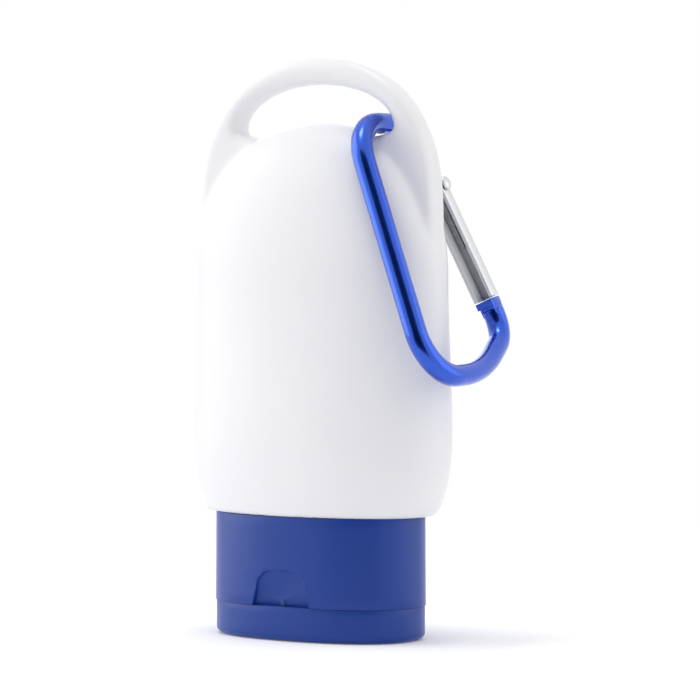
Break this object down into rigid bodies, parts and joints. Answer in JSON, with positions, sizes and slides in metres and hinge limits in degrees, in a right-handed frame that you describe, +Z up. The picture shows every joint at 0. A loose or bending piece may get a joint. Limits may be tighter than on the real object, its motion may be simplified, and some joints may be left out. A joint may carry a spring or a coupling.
{
  "type": "clip-on travel lotion bottle",
  "caption": "Oval squeeze bottle standing on its flip-top cap, with a moulded carrying loop and a small sprung carabiner hooked through it.",
  "frame": {"origin": "centre of the lid's flat outer face, on which the bottle stands", "axes": "+Z up through the bottle to its carrying loop, -Y towards the front with the label place and the cap's thumb notch, +X towards the side where the carabiner hangs"},
  "size_m": [0.0615, 0.0315, 0.105],
  "materials": {
    "white_polyethylene": "satin white blow-moulded polyethylene",
    "blue_polypropylene": "satin deep blue moulded polypropylene",
    "blue_anodised_aluminium": "glossy blue anodised aluminium rod",
    "bright_aluminium": "bright plain aluminium sheet and rivet",
    "spring_steel": "drawn spring wire"
  },
  "bodies": {
    "bottle": {"bottle": "white_polyethylene"},
    "cap": {"cap_base": "blue_polypropylene", "lid_hinge": "blue_polypropylene"},
    "lid": {"cap_lid": "blue_polypropylene"},
    "carabiner": {"carabiner_body": "blue_anodised_aluminium"},
    "gate": {"carabiner_gate": "bright_aluminium", "gate_rivet": "bright_aluminium", "gate_spring": "spring_steel"}
  },
  "joints": [
    {"name": "cap_pull_off", "type": "slide", "parent": "bottle", "child": "cap", "axis": [0, 0, -1], "range_m": [0, 0.016]},
    {"name": "lid_turn", "type": "hinge", "parent": "cap", "child": "lid", "pos_m": [0, 0.01245, 0.00595], "axis": [1, 0, 0], "range_deg": [0, 150], "deforming": ["lid_hinge"]},
    {"name": "carabiner_swing", "type": "hinge", "parent": "bottle", "child": "carabiner", "pos_m": [0.0129, 0.00035, 0.09268], "axis": [0, -1, 0], "range_deg": [0, 150]},
    {"name": "gate_turn", "type": "hinge", "parent": "carabiner", "child": "gate", "pos_m": [0.01796, 0.01095, 0.08114], "axis": [-0.9157, 0, -0.4019], "range_deg": [0, 15], "stiffness_Nm_per_rad": 0.04, "springref_deg": -2.86, "deforming": ["gate_spring"]}
  ]
}
